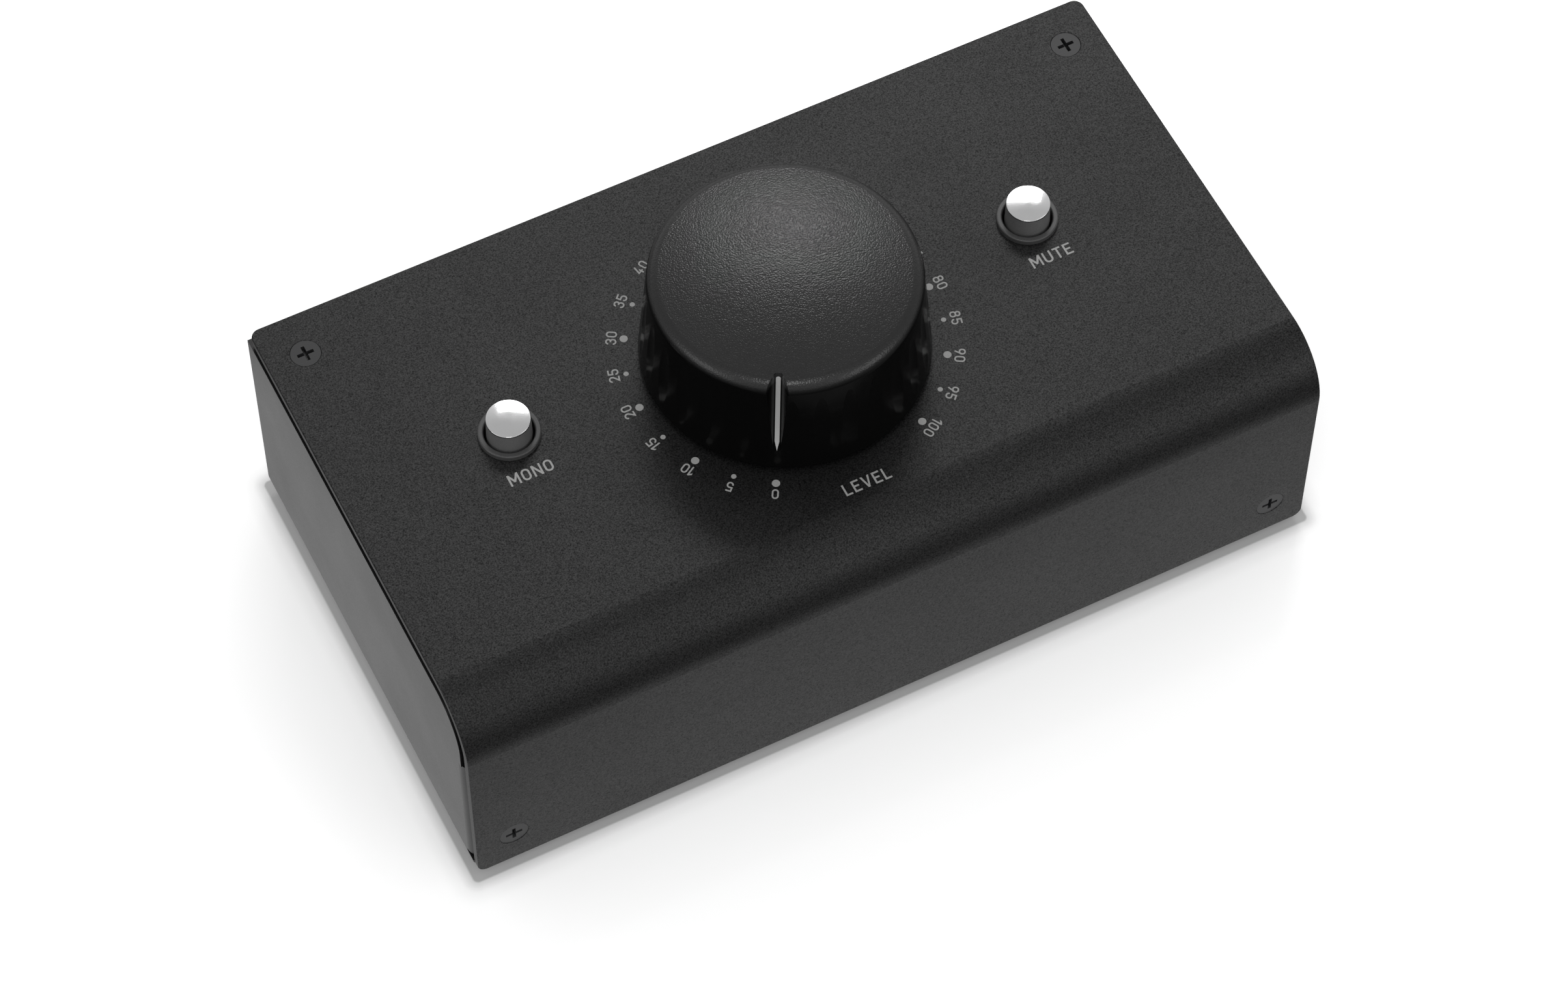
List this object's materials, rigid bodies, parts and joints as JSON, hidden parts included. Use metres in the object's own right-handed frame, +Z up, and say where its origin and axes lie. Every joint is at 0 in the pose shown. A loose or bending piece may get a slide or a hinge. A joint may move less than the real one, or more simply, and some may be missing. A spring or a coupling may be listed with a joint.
{
  "type": "studio monitor controller",
  "caption": "Desktop studio monitor controller: folded metal box with a large fluted volume knob, mono and mute push buttons on top and audio jacks at the rear.",
  "frame": {"origin": "on the resting surface, under the middle of the whole box with its rear jacks", "axes": "+Z up, +X to the right of the user, the sloping front bend and apron face -Y, the jacks face +Y"},
  "size_m": [0.1604, 0.094, 0.073],
  "materials": {
    "cover_paint": "fine-grained satin black powder coat",
    "chassis_paint": "satin black powder coat",
    "black_steel": "blackened steel",
    "zinc_steel": "zinc plated steel",
    "knob_plastic": "soft satin black with a fine leather grain",
    "pointer_grey": "light grey inlay",
    "button_plastic": "dark grey satin",
    "bezel_plastic": "black satin",
    "cap_metal": "bright polished metal",
    "foot_rubber": "matte black",
    "board_green": "glass-fibre laminate with green solder mask",
    "jack_plastic": "black glass-filled plastic",
    "contact_brass": "plated brass",
    "pot_metal": "die-cast housing",
    "ribbon_grey": "grey insulation",
    "resistor_blue": "blue lacquer"
  },
  "bodies": {
    "enclosure": {"top_cover": "cover_paint", "chassis": "chassis_paint", "rubber_feet": "foot_rubber", "cover_screws": "black_steel", "clinch_nuts": "zinc_steel", "board_screws": "zinc_steel", "main_screws": "zinc_steel", "combo_screws": "black_steel", "pot_housing": "pot_metal", "pot_base": "jack_plastic", "pot_bush": "pot_metal", "pot_tracks": "jack_plastic", "pot_washer": "zinc_steel", "pot_nut": "zinc_steel", "pot_pins": "contact_brass", "bezel_nuts": "jack_plastic", "switch_pins": "contact_brass", "control_board": "board_green", "board_studs": "zinc_steel", "resistors": "resistor_blue", "main_board": "board_green", "main_standoffs": "zinc_steel", "upper_header": "jack_plastic", "lower_header": "jack_plastic", "upper_header_pins": "contact_brass", "lower_header_pins": "contact_brass", "ribbon_cable": "ribbon_grey", "jack_pins": "contact_brass", "jack_contacts": "contact_brass", "combo_left_shell": "jack_plastic", "combo_left_core": "jack_plastic", "combo_right_shell": "jack_plastic", "combo_right_core": "jack_plastic", "output_left_jack": "jack_plastic", "output_right_jack": "jack_plastic", "output_washers": "zinc_steel", "output_nuts": "zinc_steel", "mini_jack": "jack_plastic", "mini_nut": "zinc_steel", "mono_bezel": "bezel_plastic", "mono_spring": "zinc_steel", "mono_switch": "jack_plastic", "mute_bezel": "bezel_plastic", "mute_spring": "zinc_steel", "mute_switch": "jack_plastic"},
    "volume_knob": {"knob": "knob_plastic", "knob_pointer": "pointer_grey", "knob_hub": "jack_plastic", "pot_shaft": "zinc_steel", "pot_wipers": "contact_brass"},
    "mono_push": {"mono_button": "button_plastic", "mono_cap": "cap_metal", "mono_plunger": "jack_plastic"},
    "mute_push": {"mute_button": "button_plastic", "mute_cap": "cap_metal", "mute_plunger": "jack_plastic"}
  },
  "joints": [
    {"name": "knob_turn", "type": "hinge", "parent": "enclosure", "child": "volume_knob", "pos_m": [0, -0.0029, 0.0488], "axis": [0, 0, -1], "range_deg": [0, 300]},
    {"name": "mono_press", "type": "slide", "parent": "enclosure", "child": "mono_push", "axis": [0, 0, -1], "range_m": [0, 0.003], "stiffness_N_per_m": 500, "springref_m": -0.001, "deforming": ["mono_spring"]},
    {"name": "mute_press", "type": "slide", "parent": "enclosure", "child": "mute_push", "axis": [0, 0, -1], "range_m": [0, 0.003], "stiffness_N_per_m": 500, "springref_m": -0.001, "deforming": ["mute_spring"]}
  ]
}
